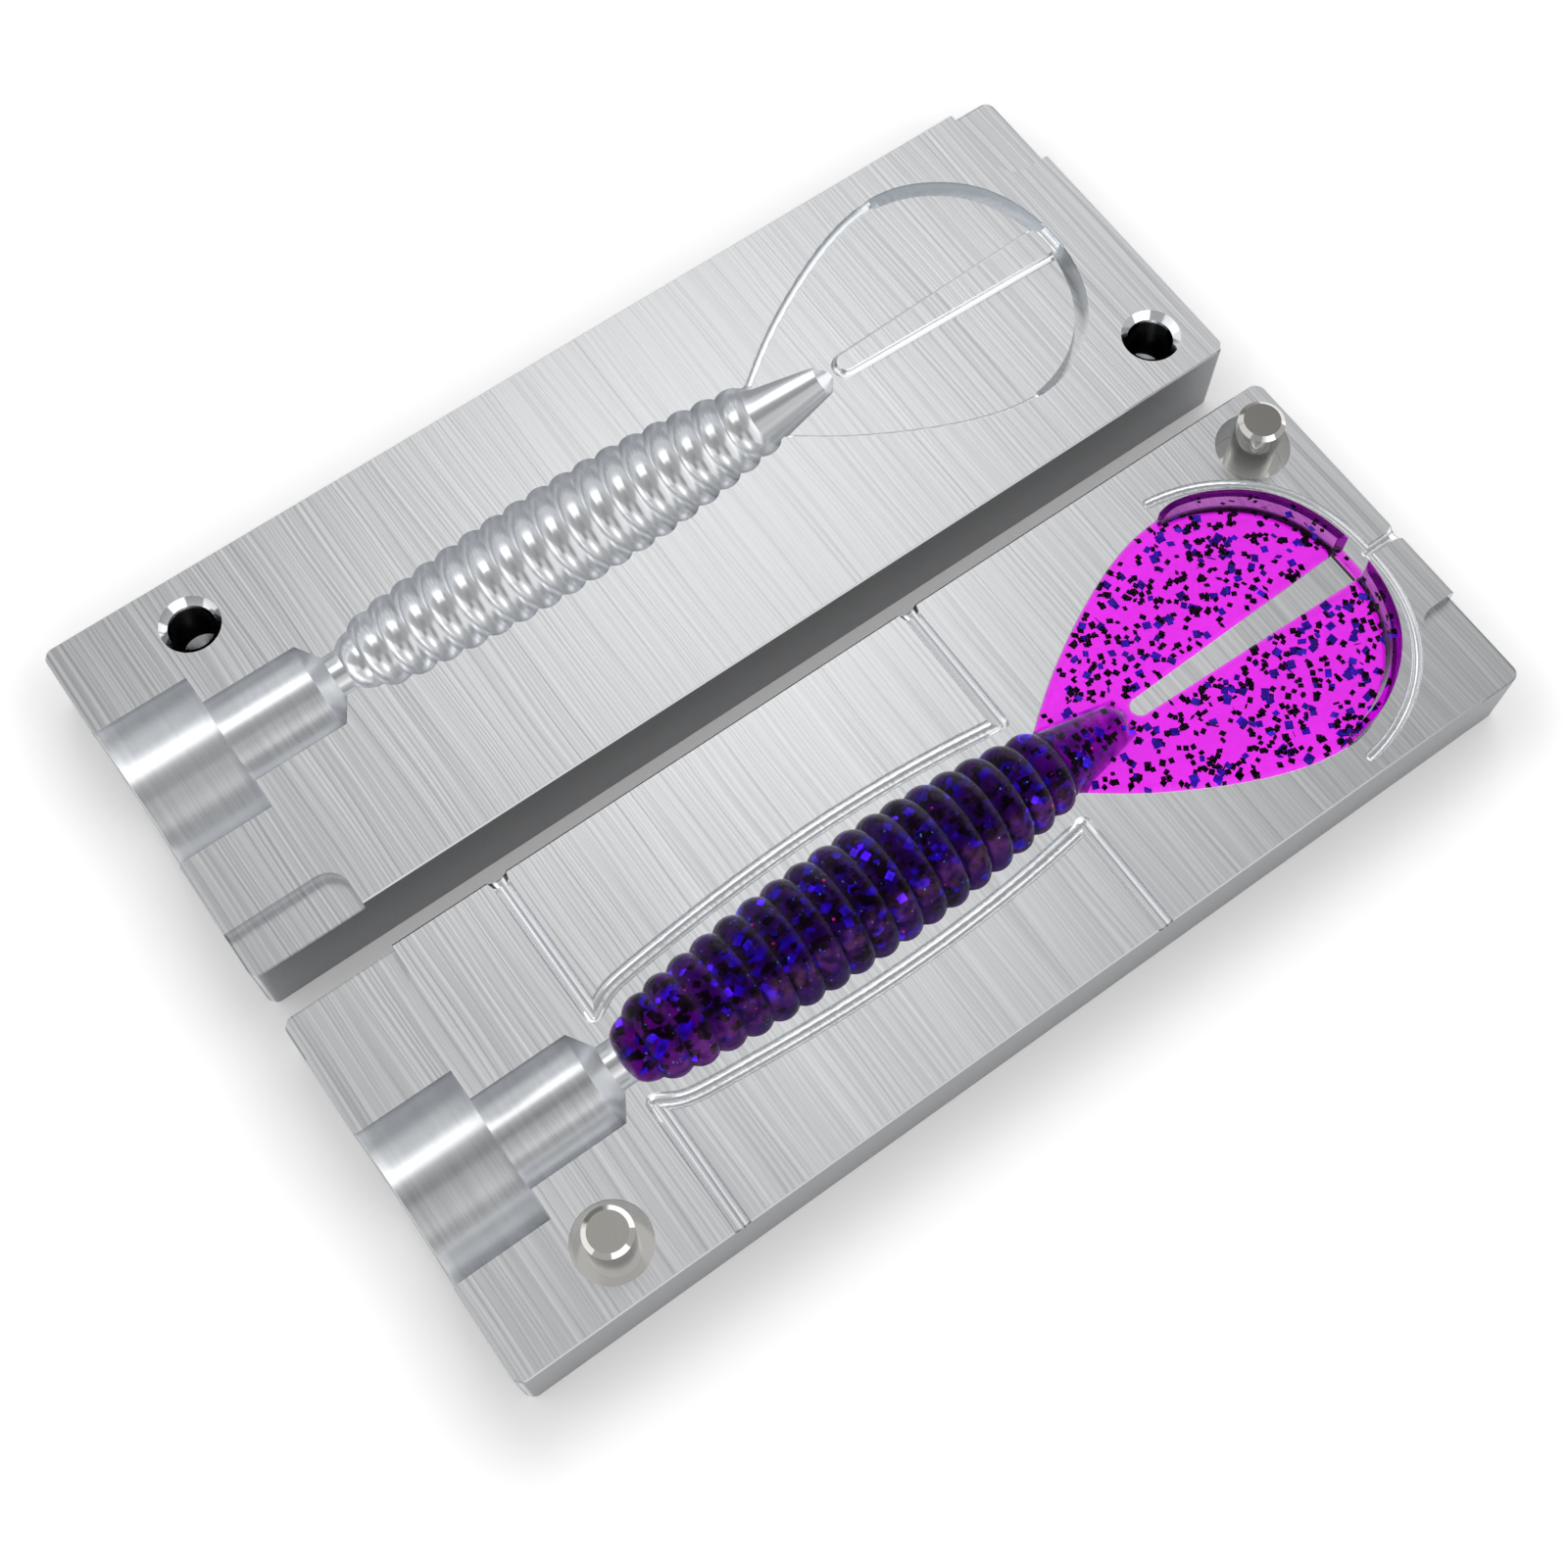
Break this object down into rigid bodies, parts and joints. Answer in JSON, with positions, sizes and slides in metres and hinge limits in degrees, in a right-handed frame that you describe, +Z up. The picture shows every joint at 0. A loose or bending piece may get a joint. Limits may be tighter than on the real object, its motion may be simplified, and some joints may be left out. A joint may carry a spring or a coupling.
{
  "type": "fishing lure mould",
  "caption": "Two-piece injection mould for a ribbed soft-plastic lure with a split paddle tail, lying open with guide pins and the casting in its base half.",
  "frame": {"origin": "middle of the footprint of the two open halves, on the surface they lie on", "axes": "+X from the pour end to the tail end of the mould, +Y from the base half to the cover half, +Z up"},
  "size_m": [0.116, 0.085, 0.016],
  "materials": {
    "machined_aluminium": "brushed across the length, satin",
    "ground_steel": "ground bright",
    "soft_plastic": "glossy translucent, magenta tail and purple body with dark and blue flakes"
  },
  "bodies": {
    "base": {"base_half": "machined_aluminium", "guide_pin_pour": "ground_steel", "guide_pin_tail": "ground_steel", "cast_lure": "soft_plastic"},
    "cover": {"cover_half": "machined_aluminium"}
  },
  "joints": [
    {"name": "turn_over", "type": "hinge", "parent": "base", "child": "cover", "pos_m": [0, 0, 0.01265], "axis": [1, 0, 0], "range_deg": [0, 180]}
  ]
}
